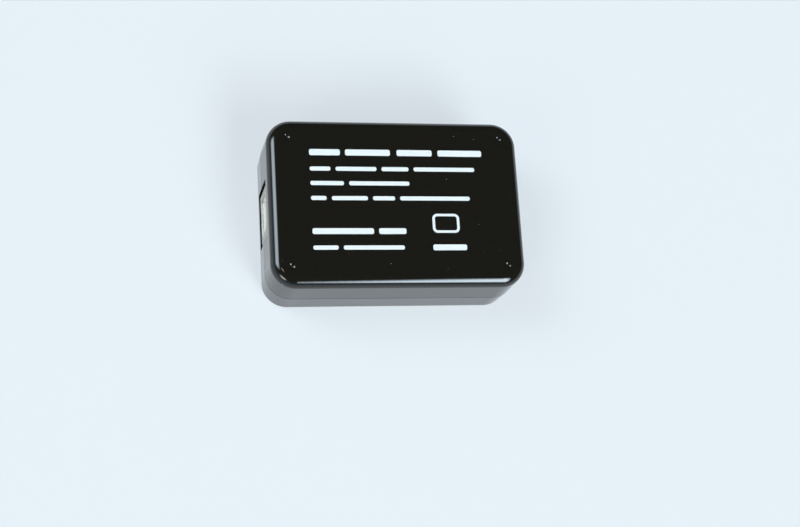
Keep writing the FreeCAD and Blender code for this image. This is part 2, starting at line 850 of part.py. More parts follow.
def isolator_pieces():
    """The wide isolator package and its sixteen leads, at the origin of the board's face."""
    middle = chip_stand_off + chip_height / 2
    lead = gull_lead(
        chip_width / 2 - chip_foot / 2, chip_lead_span, middle, chip_foot,
        chip_lead_thickness, chip_lead_width)
    leads = lead_row(lead, chip_lead_pitch, chip_leads_per_side)
    body = package(chip_length, chip_width, chip_height, chip_stand_off, chip_draft)
    top = chip_stand_off + chip_height
    mark_x = -chip_width / 2 + chip_mark_inset
    mark_y = chip_length / 2 - chip_mark_inset
    mark = cylinder(chip_mark_diameter / 2, mark_x, mark_y, top - chip_mark_depth, top + chip_mark_depth)
    return body.cut(leads + [mark]), leads


def isolator_chip():
    """The isolator's moulded body."""
    return moved(isolator_pieces()[0], chip_x, 0, board_top)


def isolator_leads():
    """The isolator's sixteen leads."""
    return group([moved(lead, chip_x, 0, board_top) for lead in isolator_pieces()[1]])


def converter_pins_raw():
    """The converter's pins, from inside its resin to under the board."""
    pins = []
    for x, y in converter_pin_places_xy():
        pins.append(block(
            x - converter_pin_width / 2, x + converter_pin_width / 2,
            y - converter_pin_thickness / 2, y + converter_pin_thickness / 2,
            board_top + lead_bottom, board_top + converter_stand_off + converter_pin_root))
    return pins


def converter_block(inset, low, high):
    """The converter's outline, taken in by inset, between two heights above the board."""
    return block(
        chip_x - converter_length / 2 + inset, chip_x + converter_length / 2 - inset,
        converter_y - converter_width / 2 + inset, converter_y + converter_width / 2 - inset,
        board_top + low, board_top + high)


def converter_case():
    """The converter's open-bottomed cover, on four corner feet."""
    cover = converter_block(0, converter_stand_off, converter_height)
    top = board_top + converter_height
    cover = cover.makeFillet(converter_wall / 2, edges_at(cover, top))
    cover = cover.cut(converter_block(
        converter_wall, converter_stand_off - converter_wall, converter_height - converter_wall))
    feet = []
    frame = converter_block(0, 0, converter_stand_off)
    frame = frame.cut(converter_block(converter_wall, -converter_wall, converter_height))
    for sx in (-1, 1):
        for sy in (-1, 1):
            x = chip_x + sx * converter_length / 2
            y = converter_y + sy * converter_width / 2
            size = converter_wall * 2
            corner = block(x - size, x + size, y - size, y + size, board_top, board_top + converter_height)
            feet.append(frame.common(corner))
    return joined([cover] + feet)


def converter_potting():
    """The resin that fills the converter's cover around its windings."""
    resin = converter_block(
        converter_wall, converter_stand_off + converter_wall / 2, converter_height - converter_wall)
    return resin.cut(converter_pins_raw())


def converter_pins():
    """The converter's pins."""
    return group(converter_pins_raw())


def can_place(side):
    """The (x, y) of a bulk capacitor: side -1 is the converter's input, 1 its output."""
    return chip_x + side * can_from_barrier, bank_y


def capacitor_can(side, height):
    """An aluminium can with a crimp above its base and a bevelled shoulder."""
    r = can_diameter / 2
    low = can_base_height
    crimp = low + can_crimp_height
    half = can_crimp_width / 2
    profile = [
        Vector(0, 0, low), Vector(r, 0, low), Vector(r, 0, crimp - half),
        Vector(r - can_crimp_depth, 0, crimp), Vector(r, 0, crimp + half),
        Vector(r, 0, height - can_shoulder), Vector(r - can_shoulder, 0, height), Vector(0, 0, height),
    ]
    section = Part.Face(Part.makePolygon(profile + profile[:1]))
    can = section.revolve(Vector(0, 0, 0), Vector(0, 0, 1), 360)
    return moved(can, *can_place(side), board_top)


def tab_pair(side):
    """The two flat terminals under a capacitor's base."""
    x, y = can_place(side)
    tabs = []
    for direction in (-1, 1):
        xs = sorted((x + direction * tab_inner_gap / 2, x + direction * (can_half + tab_length)))
        tabs.append(block(xs[0], xs[1], y - tab_width / 2, y + tab_width / 2,
                          board_top, board_top + tab_thickness))
    return tabs


def capacitor_base(side):
    """A square moulded base with two corners cut off, recessed for its terminals."""
    half = can_half
    inner = half - can_base_cut
    points = [(-half, -half), (inner, -half), (half, -inner), (half, inner), (inner, half), (-half, half)]
    corners = [Vector(px, py, 0) for px, py in points]
    base = Part.Face(Part.makePolygon(corners + corners[:1])).extrude(Vector(0, 0, can_base_height))
    return moved(base, *can_place(side), board_top).cut(tab_pair(side))


def capacitor_tabs():
    """The terminals of both bulk capacitors."""
    return group(tab_pair(-1) + tab_pair(1))


def signal_columns():
    """The x of the column of small parts midway between each socket and the isolator's leads."""
    reach = chip_lead_span / 2
    return (b_back + chip_x - reach) / 2, (a_back + chip_x + reach) / 2


def surge_pieces():
    """One six-lead surge array at the origin of the board's face."""
    middle = (surge_height + surge_stand_off) / 2
    lead = gull_lead(
        surge_width / 2 - surge_foot / 2, surge_span, middle, surge_foot,
        surge_lead_thickness, surge_lead_width)
    leads = lead_row(lead, surge_lead_pitch, 3)
    body = package(surge_length, surge_width, surge_height - surge_stand_off, surge_stand_off, surge_lean)
    return body.cut(leads), leads


def surge_arrays():
    """The bodies of the two surge arrays, one behind each socket."""
    body = surge_pieces()[0]
    return group([moved(body, x, 0, board_top) for x in signal_columns()])


def surge_array_leads():
    """The leads of the two surge arrays."""
    leads = []
    for x in signal_columns():
        leads += [moved(lead, x, 0, board_top) for lead in surge_pieces()[1]]
    return group(leads)


def supply_row(side, parts):
    """Parts beside a bulk capacitor, one below the other, as chip_parts gives them. parts holds
    the (kind, length, width, height) of each, and the longest comes first."""
    x = chip_x + side * (can_from_barrier + can_half + part_gap + tab_length + parts[0][1] / 2)
    y = bank_y + can_half
    placed = []
    for kind, length, width, height in parts:
        placed.append((kind, x, y - width / 2, length, width, height))
        y -= width + part_gap
    return placed


def chip_parts():
    """Every two-ended part as (kind, x, y, length, width, height), all lying along X."""
    left, right = signal_columns()
    resistor = (chip_part_length, chip_part_width, resistor_height)
    ceramic = (chip_part_length, chip_part_width, ceramic_height)
    bead = (bead_length, bead_width, bead_height)
    fuse = (fuse_length, fuse_width, fuse_height)
    parts = [("resistor", x, side * resistor_y, *resistor) for x in (left, right) for side in (-1, 1)]
    parts += [("ceramic", x, y, *ceramic) for x, y in (
        (left, ceramic_y), (right, ceramic_y), (right, -ceramic_y))]
    parts += supply_row(-1, [("fuse", *fuse), ("bead", *bead)])
    parts += supply_row(1, [("bead", *bead), ("ceramic", *ceramic), ("ceramic", *ceramic)])
    return parts


def end_caps_of(x, y, length, width, height):
    """The two plated ends of a chip part, each wrapped round the body's end."""
    caps = []
    outer = block(-length / 2, length / 2, -width / 2, width / 2, 0, height)
    body = chip_body(0, 0, length, width, height, 0)
    for side in (-1, 1):
        xs = sorted((side * (length / 2 - end_cap), side * length / 2))
        cap = outer.common(block(xs[0], xs[1], -width, width, -height, height * 2))
        caps.append(moved(cap.cut(body), x, y, board_top))
    return caps


def chip_body(x, y, length, width, height, base):
    """The body of a chip part, a little smaller all round than its plated ends."""
    skin = end_cap_skin
    return block(
        x - length / 2 + skin, x + length / 2 - skin, y - width / 2 + skin, y + width / 2 - skin,
        base + skin, base + height - skin)


def chip_bodies(kind):
    """All bodies of one kind of chip part."""
    found = [part[1:] for part in chip_parts() if part[0] == kind]
    return group([chip_body(*sizes, board_top) for sizes in found])


def chip_end_caps():
    """The plated ends of every chip part."""
    caps = []
    for kind, x, y, length, width, height in chip_parts():
        caps += end_caps_of(x, y, length, width, height)
    return group(caps)


def line_choke():
    """The common-mode choke of the data pair, beside the computer's socket."""
    x = signal_columns()[0]
    y = -resistor_y - chip_part_width / 2 - part_gap - choke_width / 2
    half_x = choke_length / 2
    half_y = choke_width / 2
    core = block(x - half_x, x + half_x, y - half_y, y + half_y, board_top, board_top + choke_height)
    grooves = []
    for side in (-1, 1):
        ys = sorted((y + side * (half_y - choke_groove), y + side * (half_y + choke_groove)))
        grooves.append(block(x - choke_waist / 2, x + choke_waist / 2, ys[0], ys[1],
                             board_top, board_top + choke_height))
    return core.cut(grooves)


def nodes():
    """Every node's name with its shape."""
    return {
        "top_cover": top_cover(),
        "bottom_cover": bottom_cover(),
        "case_screws": case_screws(),
        "circuit_board": circuit_board(),
        "type_b_shell": type_b_shell(),
        "type_b_insulator": type_b_insulator(),
        "type_b_contacts": type_b_contacts(),
        "type_a_shell": type_a_shell(),
        "type_a_insulator": type_a_insulator(),
        "type_a_contacts": type_a_contacts(),
        "isolator_chip": isolator_chip(),
        "isolator_leads": isolator_leads(),
        "converter_case": converter_case(),
        "converter_potting": converter_potting(),
        "converter_pins": converter_pins(),
        "input_capacitor_can": capacitor_can(-1, input_can_height),
        "input_capacitor_base": capacitor_base(-1),
        "output_capacitor_can": capacitor_can(1, output_can_height),
        "output_capacitor_base": capacitor_base(1),
        "capacitor_tabs": capacitor_tabs(),
        "surge_arrays": surge_arrays(),
        "surge_array_leads": surge_array_leads(),
        "line_choke": line_choke(),
        "resettable_fuse": chip_bodies("fuse"),
        "ferrite_beads": chip_bodies("bead"),
        "ceramic_capacitors": chip_bodies("ceramic"),
        "chip_resistors": chip_bodies("resistor"),
        "chip_end_caps": chip_end_caps(),
    }


os.makedirs("parts", exist_ok=True)
for name, shape in nodes().items():
    shape.exportStep(f"parts/{name}.step")
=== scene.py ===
"""Dresses the USB isolator's solids and sets it on a pale studio floor, seen as in the photograph.

Metres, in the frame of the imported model: the base's centre is the origin, +Z is up, the computer's
socket is at -X and the device's socket at +X.
"""
import logging
import math
from dataclasses import dataclass, field
from enum import Enum
from typing import Mapping, Sequence

import bmesh
import bpy
from mathutils import Matrix, Vector


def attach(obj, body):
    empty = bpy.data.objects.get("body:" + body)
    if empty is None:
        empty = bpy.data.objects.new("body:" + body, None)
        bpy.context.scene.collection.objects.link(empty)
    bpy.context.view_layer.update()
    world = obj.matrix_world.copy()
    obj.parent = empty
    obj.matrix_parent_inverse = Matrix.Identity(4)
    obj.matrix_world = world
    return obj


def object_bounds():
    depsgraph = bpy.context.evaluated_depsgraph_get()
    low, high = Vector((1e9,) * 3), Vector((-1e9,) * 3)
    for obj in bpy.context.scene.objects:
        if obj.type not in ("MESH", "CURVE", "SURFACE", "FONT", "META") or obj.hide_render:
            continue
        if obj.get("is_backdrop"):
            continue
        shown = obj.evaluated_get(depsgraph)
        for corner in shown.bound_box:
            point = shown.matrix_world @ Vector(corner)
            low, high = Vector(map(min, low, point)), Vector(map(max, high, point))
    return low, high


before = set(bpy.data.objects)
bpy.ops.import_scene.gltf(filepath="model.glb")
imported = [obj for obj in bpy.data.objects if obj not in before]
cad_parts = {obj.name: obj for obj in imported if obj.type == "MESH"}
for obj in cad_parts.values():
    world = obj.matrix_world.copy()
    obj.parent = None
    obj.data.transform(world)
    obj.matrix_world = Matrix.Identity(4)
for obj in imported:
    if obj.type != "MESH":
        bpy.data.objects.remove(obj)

LOG = logging.getLogger("usb_isolator")
MM = 0.001
BODY = "root"
NOISE_MIDDLE = 0.5

Triple = tuple[float, float, float]
Span = tuple[float, float]


def shaded(colour: Triple, share: float) -> Triple:
    """The colour made darker or lighter by a share, with nothing past white."""
    return tuple(min(1.0, part * share) for part in colour)


class Axis(Enum):
    """The direction that a grain or scratch runs in, as how far the pattern is drawn out."""

    NONE = (1.0, 1.0, 1.0)
    ALONG_X = (0.04, 1.0, 1.0)
    ALONG_Y = (1.0, 0.04, 1.0)
    ALONG_Z = (1.0, 1.0, 0.04)
    LEVEL = (0.2, 0.2, 1.0)


class Wire:
    """A node's output, used in ordinary arithmetic: each operation adds a Math node."""

    def __init__(self, recipe: "Recipe", socket: bpy.types.NodeSocket | None) -> None:
        """Keeps the socket and the recipe that it is in; an output node has no socket."""
        self.recipe = recipe
        self.socket = socket

    def _math(self, operation: str, *values: "Value") -> "Wire":
        """Adds one Math node on the values given."""
        return self.recipe.node("ShaderNodeMath", {"operation": operation}, dict(enumerate(values)))

    def __add__(self, other: "Value") -> "Wire":
        """self + other."""
        return self._math("ADD", self, other)

    def __radd__(self, other: "Value") -> "Wire":
        """other + self."""
        return self._math("ADD", other, self)

    def __sub__(self, other: "Value") -> "Wire":
        """self - other."""
        return self._math("SUBTRACT", self, other)

    def __rsub__(self, other: "Value") -> "Wire":
        """other - self."""
        return self._math("SUBTRACT", other, self)

    def __mul__(self, other: "Value") -> "Wire":
        """self * other."""
        return self._math("MULTIPLY", self, other)

    def __rmul__(self, other: "Value") -> "Wire":
        """other * self."""
        return self._math("MULTIPLY", other, self)

    def __abs__(self) -> "Wire":
        """The value without its sign."""
        return self._math("ABSOLUTE", self)

    def either(self, other: "Value") -> "Wire":
        """The larger of the two, which joins two masks."""
        return self._math("MAXIMUM", self, other)

    def sine(self) -> "Wire":
        """The sine of the value, in radians."""
        return self._math("SINE", self)

    def rises(self, low: float, high: float) -> "Wire":
        """A smooth step.

        Args:
            low: the value at which the step is 0.
            high: the value at which it is 1; it may be below low.

        Returns:
            A mask from 0 to 1.
        """
        sockets = {"Value": self, "From Min": min(low, high), "From Max": max(low, high)}
        step = self.recipe.node("ShaderNodeMapRange", {"interpolation_type": "SMOOTHSTEP"}, sockets)
        return step if low < high else 1.0 - step


Value = float | Sequence[float] | Wire


class Recipe:
    """A node tree under construction, with the textures that the finishes share."""

    hard_edge: float = 0.999
    spot_core: float = 0.6
    line_core: float = 0.3
    line_bend: float = 0.4
    stretches_per_line: float = 0.3
    stretch_edge: Span = (0.5, 0.62)

    def __init__(self, tree: bpy.types.NodeTree) -> None:
        """Starts from an empty tree."""
        tree.nodes.clear()
        self.tree = tree

    def feed(self, socket: bpy.types.NodeSocket, value: Value) -> None:
        """Links a wire to a socket, or sets the socket's own value.

        Args:
            socket: the input.
            value: a wire, a number, or a colour or vector; a colour gets its alpha here.
        """
        if isinstance(value, Wire):
            self.tree.links.new(value.socket, socket)
        elif isinstance(value, (int, float)):
            socket.default_value = value
        else:
            opaque = socket.type == "RGBA" and len(value) == 3
            socket.default_value = (*value, 1.0) if opaque else tuple(value)

    def node(
        self,
        kind: str,
        settings: Mapping[str, object] | None = None,
        inputs: Mapping[int | str, Value] | None = None,
        output: int | str = 0,
    ) -> Wire:
        """Adds one node.

        Args:
            kind: the node's type.
            settings: its attributes, set before anything is linked.
            inputs: the value or wire of each socket, by its name or number.
            output: the socket to give back.

        Returns:
            The chosen output.
        """
        made = self.tree.nodes.new(kind)
        for name, setting in (settings or {}).items():
            setattr(made, name, setting)
        for name, value in (inputs or {}).items():
            self.feed(made.inputs[name], value)
        return Wire(self, made.outputs[output] if made.outputs else None)

    def vector(self, operation: str, *values: Value, output: int | str = 0) -> Wire:
        """Adds one Vector Math node on the values given."""
        return self.node("ShaderNodeVectorMath", {"operation": operation}, dict(enumerate(values)), output)

    def place(self, drawn_out: Axis = Axis.NONE) -> Wire:
        """Where a point of the object is.

        Args:
            drawn_out: the grain that a pattern laid on it is drawn out along.

        Returns:
            The place in millimetres, shortened along the grain.
        """
        spot = self.node("ShaderNodeTexCoord", output="Object")
        scale = tuple(part / MM for part in drawn_out.value)
        return self.vector("MULTIPLY", spot, scale)

    def parts(self, vector: Wire) -> tuple[Wire, Wire, Wire]:
        """Splits a vector.

        Args:
            vector: the vector.

        Returns:
            Its three components.
        """
        split = self.node("ShaderNodeSeparateXYZ", inputs={0: vector})
        x, y, z = (Wire(self, output) for output in split.socket.node.outputs)
        return x, y, z

    def facing(self) -> tuple[Wire, Wire, Wire]:
        """The components of the surface's direction, in the object's own frame."""
        return self.parts(self.node("ShaderNodeTexCoord", output="Normal"))

    def noise(
        self,
        per_mm: float,
        detail: float = 2.0,
        grain: Axis = Axis.NONE,
        rough: float = 0.5,
        bend: float = 0.0,
    ) -> Wire:
        """Cloudy noise.

        Args:
            per_mm: how many clouds there are to a millimetre.
            detail: octaves of finer noise.
            grain: the direction that the clouds are drawn out in.
            rough: how strong the finer octaves are.
            bend: how far the pattern is distorted.

        Returns:
            A value about 0.5.
        """
        sockets = {"Vector": self.place(grain), "Scale": per_mm}
        sockets |= {"Detail": detail, "Roughness": rough, "Distortion": bend}
        return self.node("ShaderNodeTexNoise", None, sockets)

    def specks(self, per_mm: float, share: float, size: float) -> Wire:
        """Scattered small spots.

        Args:
            per_mm: cells to a millimetre, of which some hold a spot.
            share: the share of the cells with a spot.
            size: the spot's radius, as a share of a cell.

        Returns:
            A mask that is 1 in a spot and fades over its outer part.
        """
        cells = {"Vector": self.place(), "Scale": per_mm}
        near = self.node("ShaderNodeTexVoronoi", None, cells, "Distance")
        cell = Wire(self, near.socket.node.outputs["Color"])
        chosen = self.parts(cell)[0].rises(share, share * self.hard_edge)
        return near.rises(size, size * self.spot_core) * chosen

    def scratches(self, per_mm: float, width: float, grain: Axis) -> Wire:
        """Fine lines along a grain, broken into stretches.

        Args:
            per_mm: how many lines there are to a millimetre.
            width: half a line's width, as a span of the noise about its middle value.
            grain: the direction that the lines run in.

        Returns:
            A mask that is 1 in a line.
        """
        drawn = self.noise(per_mm, detail=1.0, grain=grain, bend=self.line_bend)
        lines = abs(drawn - NOISE_MIDDLE).rises(width, width * self.line_core)
        stretches = self.noise(per_mm * self.stretches_per_line, detail=2.0).rises(*self.stretch_edge)
        return lines * stretches

    def mix(self, factor: Value, below: Value, above: Value) -> Wire:
        """Two colours mixed, where the factor is the share of the second."""
        return self.node("ShaderNodeMix", {"data_type": "RGBA"}, {0: factor, 6: below, 7: above}, 2)

    def bump(self, height: Wire, depth_mm: float) -> Wire:
        """The surface's direction, bumped by a height of which 1 stands for the depth."""
        sockets = {"Strength": 1.0, "Distance": depth_mm * MM, "Height": height}
        return self.node("ShaderNodeBump", None, sockets)

    def finish_with(
        self, shader: str, inputs: Mapping[int | str, Value], ending: str = "ShaderNodeOutputMaterial"
    ) -> None:
        """Adds the closing shader and the tree's output, which is another for a lamp or the world."""
        self.node(ending, None, {"Surface": self.node(shader, None, inputs)})


@dataclass(frozen=True)
class Finish:
    """A finish: the record's slot that it stands for and the colour that it starts from."""

    slot: str
    colour: Triple

    def surface(self, recipe: Recipe) -> Mapping[int | str, Value]:
        """The sockets of the closing Principled shader; each kind of finish has its own."""
        raise NotImplementedError

    def material(self, name: str) -> bpy.types.Material:
        """Builds the material.

        Args:
            name: the finish's name.

        Returns:
            A material of that name.
        """
        made = bpy.data.materials.new(f"{name}_finish")
        made.use_nodes = True
        recipe = Recipe(made.node_tree)
        recipe.finish_with("ShaderNodeBsdfPrincipled", self.surface(recipe))
        return made


@dataclass(frozen=True)
class Bar:
    """A plain printed bar on the lid, in millimetres: its left end, its middle line and its size.

    A bar with a line is only an outline of that thickness.
    """

    left: float
    level: float
    length: float
    height: float
    corner: float = 0.42
    line: float = 0.0


@dataclass(frozen=True)
class GlossBlack(Finish):
    """Polished black moulding with haze, hairlines, dust and worn edges.

    The lid also has its plain printed bars. Lengths are in millimetres.
    """

    bars: tuple[Bar, ...] = ()
    print_colour: Triple = (0.83, 0.83, 0.81)
    print_shade: float = 0.93
    print_from: Span = (18.9, 19.0)
    pinholes: Span = (0.24, 0.32)
    print_edge: float = 0.03
    print_rough: float = 0.33
    print_height: float = 1.5
    mottle: float = 1.5
    haze: float = 0.05
    smudges: Span = (0.48, 0.72)
    smudge_rough: float = 0.05
    hairline_span: float = 0.006
    hairline_rough: float = 0.1
    hairline_depth: float = 0.06
    dust_colour: Triple = (0.16, 0.15, 0.13)
    dust_rough: float = 0.4
    foot_wear: Span = (1.1, 0.1)
    parting: float = 8.9
    parting_wear: Span = (0.45, 0.05)
    scuffs: Span = (0.5, 0.66)
    scuff_colour: Triple = (0.052, 0.050, 0.046)
    scuff_rough: float = 0.22
    scuff_depth: float = 0.2
    crown_edge: float = 17.6
    nick_spread: Span = (0.7, 0.1)
    nick_colour: Triple = (0.55, 0.55, 0.53)
    nick_rough: float = 0.3
    relief: float = 0.004
    refraction: float = 1.58

    def _wear(self, recipe: Recipe) -> tuple[Wire, Wire]:
        """Where hands and tables have rubbed the case.

        Args:
            recipe: the tree that it is added to.

        Returns:
            The scuffs at the foot and the parting line, and the nicks under the crown.
        """
        height = recipe.parts(recipe.place())[2]
        foot = height.rises(*self.foot_wear)
        line = abs(height - self.parting).rises(*self.parting_wear)
        patches = recipe.noise(per_mm=2.6, detail=5.0, grain=Axis.LEVEL, rough=0.65).rises(*self.scuffs)
        nicks = recipe.specks(per_mm=1.1, share=0.12, size=0.12)
        near_crown = abs(height - self.crown_edge).rises(*self.nick_spread)
        return patches * foot.either(line), nicks * near_crown

    def _print(self, recipe: Recipe) -> Wire:
        """The mask of the printed bars.

        Args:
            recipe: the tree that it is added to.

        Returns:
            1 in the ink, with a soft edge and a few pinholes.
        """
        spot = recipe.place()
        flat = recipe.vector("MULTIPLY", spot, (1.0, 1.0, 0.0))
        ink: Wire | None = None
        for bar in self.bars:
            middle = (bar.left + bar.length / 2, bar.level, 0.0)
            half = (bar.length / 2 - bar.corner, bar.height / 2 - bar.corner, 1.0)
            folded = recipe.vector("ABSOLUTE", recipe.vector("SUBTRACT", flat, middle))
            outside = recipe.vector("MAXIMUM", recipe.vector("SUBTRACT", folded, half), (0.0, 0.0, 0.0))
            gap = recipe.vector("LENGTH", outside, output="Value")
            shape = gap.rises(bar.corner + self.print_edge, bar.corner - self.print_edge)
            if bar.line:
                inner = bar.corner - bar.line
                shape = shape * gap.rises(inner - self.print_edge, inner + self.print_edge)
            ink = shape if ink is None else ink.either(shape)
        height = recipe.parts(spot)[2]
        kept = recipe.noise(per_mm=5.0, detail=3.0).rises(*self.pinholes)
        return ink * height.rises(*self.print_from) * kept

    def surface(self, recipe: Recipe) -> Mapping[int | str, Value]:
        """The gloss, with its dust, its wear and its print.

        Args:
            recipe: the tree that it is added to.

        Returns:
            The sockets of the closing shader.
        """
        dust = recipe.specks(per_mm=0.42, share=0.13, size=0.055)
        dust = dust.either(recipe.specks(per_mm=1.1, share=0.05, size=0.06))
        hairlines = recipe.scratches(per_mm=1.6, width=self.hairline_span, grain=Axis.ALONG_X)
        crossing = recipe.scratches(per_mm=2.1, width=self.hairline_span, grain=Axis.ALONG_Y)
        hairlines = hairlines.either(crossing)
        smudge = recipe.noise(per_mm=0.12, detail=4.0, rough=0.6, bend=0.6).rises(*self.smudges)
        clouds = recipe.noise(per_mm=0.6, detail=4.0)
        colour = recipe.mix(clouds, self.colour, shaded(self.colour, self.mottle))
        scuffs, nicks = self._wear(recipe)
        for mask, tone in ((dust, self.dust_colour), (scuffs, self.scuff_colour), (nicks, self.nick_colour)):
            colour = recipe.mix(mask, colour, tone)
        rough = self.haze + smudge * self.smudge_rough + hairlines * self.hairline_rough
        rough = rough + dust * self.dust_rough + scuffs * self.scuff_rough + nicks * self.nick_rough
        height = recipe.noise(per_mm=0.9, detail=2.0)
        height = height - hairlines * self.hairline_depth - scuffs * self.scuff_depth
        if self.bars:
            ink = self._print(recipe)
            density = recipe.noise(per_mm=2.5, detail=3.0)
            white = recipe.mix(density, self.print_colour, shaded(self.print_colour, self.print_shade))
            colour = recipe.mix(ink, colour, white)
            rough = rough + ink * self.print_rough
            height = height + ink * self.print_height
        return {
            "Base Color": colour,
            "Roughness": rough,
            "Normal": recipe.bump(height, self.relief),
            "IOR": self.refraction,
        }


@dataclass(frozen=True)
class SheetMetal(Finish):
    """Bare or plated metal: a rolled grain, fine scratches, pits and a patchy tarnish."""

    tarnish: Triple
    rough: float = 0.28
    grain: Axis = Axis.ALONG_X
    grain_per_mm: float = 14.0
    patches_per_mm: float = 0.7
    grain_rough: float = 0.18
    tarnish_spread: Span = (0.42, 0.75)
    tarnish_rough: float = 0.16
    scratches_per_grain: float = 0.35
    scratch_span: float = 0.012
    scratch_shine: float = 1.2
    scratch_share: float = 0.5
    pit_rough: float = 0.2
    pit_dullness: float = 0.5
    relief: float = 0.006

    def surface(self, recipe: Recipe) -> Mapping[int | str, Value]:
        """The metal.

        Args:
            recipe: the tree that it is added to.

        Returns:
            The sockets of the closing shader.
        """
        rolled = recipe.noise(self.grain_per_mm, detail=3.0, grain=self.grain)
        patches = recipe.noise(self.patches_per_mm, detail=5.0, rough=0.62, bend=0.5)
        dull = patches.rises(*self.tarnish_spread)
        scratched = recipe.scratches(
            self.grain_per_mm * self.scratches_per_grain, self.scratch_span, self.grain
        )
        scratched = scratched * self.scratch_share
        pits = recipe.specks(per_mm=2.4, share=0.08, size=0.12)
        tone = recipe.mix(dull.either(pits), self.colour, self.tarnish)
        rough = self.rough + dull * self.tarnish_rough + (rolled - NOISE_MIDDLE) * self.grain_rough
        return {
            "Base Color": recipe.mix(scratched, tone, shaded(self.colour, self.scratch_shine)),
            "Metallic": 1.0 - pits * self.pit_dullness,
            "Roughness": rough + pits * self.pit_rough,
            "Normal": recipe.bump(rolled - scratched, self.relief),
        }


@dataclass(frozen=True)
class Moulding(Finish):
    """Moulded or pressed insulating material: a fine texture, flow marks and fine grit."""

    shade: Triple
    rough: float = 0.45
    texture_per_mm: float = 6.0
    texture_depth: float = 0.012
    grit: float = 0.0
    grit_colour: Triple = (0.4, 0.4, 0.4)
    grit_shine: float = 0.12
    texture_rough: float = 0.2
    flow_spread: Span = (0.35, 0.7)
    flow_rough: float = 0.05

    def surface(self, recipe: Recipe) -> Mapping[int | str, Value]:
        """The moulding.

        Args:
            recipe: the tree that it is added to.

        Returns:
            The sockets of the closing shader.
        """
        flow = recipe.noise(per_mm=0.35, detail=4.0, bend=0.8).rises(*self.flow_spread)
        texture = recipe.noise(self.texture_per_mm, detail=4.0, rough=0.6)
        colour = recipe.mix(flow, self.colour, self.shade)
        rough = self.rough + (texture - NOISE_MIDDLE) * self.texture_rough + flow * self.flow_rough
        if self.grit:
            grains = recipe.specks(per_mm=7.0, share=self.grit, size=0.3)
            colour = recipe.mix(grains, colour, self.grit_colour)
            rough = rough - grains * self.grit_shine
        return {"Base Color": colour, "Roughness": rough, "Normal": recipe.bump(texture, self.texture_depth)}


@dataclass(frozen=True)
class BoardLacquer(Finish):
    """A circuit board: green lacquer over copper tracks, and the bare glass weave on its edges.

    Each block of a square grid draws a lot: tracks one way, tracks the other way, a copper area, or
    bare board. No copper crosses the isolation barrier. Lengths are in millimetres.
    """

    copper_under: Triple
    edge_colour: Triple
    via_colour: Triple = (0.62, 0.60, 0.55)
    via_radius: Span = (0.38, 0.34)
    hole_radius: Span = (0.16, 0.13)
    # painted shade: how dark each via's hole is painted, as a share of the lacquer's colour
    hole_painted_shade: float = 0.2
    weave_per_mm: float = 2.2
    weave_share: float = 0.25
    weave_shade: float = 0.6
    weave_depth: float = 0.12
    track_pitch: float = 0.8
    track_edge: Span = (0.1, 0.4)
    block_side: float = 4.0
    block_height: float = 100.0
    along_x_up_to: float = 0.34
    along_y_up_to: float = 0.62
    area_from: float = 0.74
    lot_step: float = 0.01
    barrier_middle: float = 1.1
    barrier_half: float = 2.6
    barrier_edge: float = 0.1
    level_face: Span = (0.4, 0.6)
    edge_rough: float = 0.62
    lacquer_shine: float = 0.36
    haze: float = 0.08
    relief: float = 0.02

    def _copper(self, recipe: Recipe, spot: Wire) -> Wire:
        """The copper under the lacquer.

        Args:
            recipe: the tree that it is added to.
            spot: the place on the board.

        Returns:
            1 over a track or an area of copper.
        """
        east, north, _ = recipe.parts(spot)
        corner = recipe.vector("SNAP", spot, (self.block_side, self.block_side, self.block_height))
        lot = recipe.node("ShaderNodeTexWhiteNoise", {"noise_dimensions": "3D"}, {"Vector": corner})
        turn = 2 * math.pi / self.track_pitch
        along_x = (north * turn).sine().rises(*self.track_edge)
        along_x = along_x * lot.rises(self.along_x_up_to, self.along_x_up_to - self.lot_step)
        along_y = (east * turn).sine().rises(*self.track_edge)
        along_y = along_y * lot.rises(self.along_x_up_to, self.along_x_up_to + self.lot_step)
        along_y = along_y * lot.rises(self.along_y_up_to, self.along_y_up_to - self.lot_step)
        return along_x.either(along_y).either(lot.rises(self.area_from, self.area_from + self.lot_step))

    def surface(self, recipe: Recipe) -> Mapping[int | str, Value]:
        """The board.

        Args:
            recipe: the tree that it is added to.

        Returns:
            The sockets of the closing shader.
        """
        spot = recipe.place()
        east, north, _ = recipe.parts(spot)
        flat = abs(recipe.facing()[2]).rises(*self.level_face)
        off_barrier = abs(east - self.barrier_middle)
        gap = off_barrier.rises(self.barrier_half - self.barrier_edge, self.barrier_half + self.barrier_edge)
        copper = self._copper(recipe, spot) * gap
        grid = {"Vector": spot, "Scale": 1.0 / self.block_side, "Randomness": 0.0}
        flat_cells = {"voronoi_dimensions": "2D"}
        off_via = recipe.node("ShaderNodeTexVoronoi", flat_cells, grid, "Distance") * self.block_side
        via = off_via.rises(*self.via_radius) * gap
        hole = off_via.rises(*self.hole_radius) * gap
        thread = 2 * math.pi * self.weave_per_mm
        weave = (east * thread).sine() * (north * thread).sine()
        lacquer = recipe.mix(copper, self.colour, self.copper_under)
        woven = weave.rises(0.0, 1.0) * self.weave_share
        lacquer = recipe.mix(woven, lacquer, shaded(self.colour, self.weave_shade))
        lacquer = recipe.mix(via, lacquer, self.via_colour)
        # painted shade: each via's hole is darkened to a small share of the lacquer's colour, standing for
        # the shade inside the hole
        lacquer = recipe.mix(hole, lacquer, shaded(self.colour, self.hole_painted_shade))
        grain = recipe.noise(per_mm=8.0, detail=4.0, grain=Axis.ALONG_X)
        edge = recipe.mix(grain, self.edge_colour, shaded(self.edge_colour, self.weave_shade))
        haze = recipe.noise(per_mm=1.4, detail=3.0) * self.haze
        height = copper.either(via) - hole + weave * self.weave_depth + (1.0 - flat) * grain
        return {
            "Base Color": recipe.mix(flat, edge, lacquer),
            "Roughness": self.edge_rough - flat * self.lacquer_shine + haze,
            "Normal": recipe.bump(height, self.relief),
        }


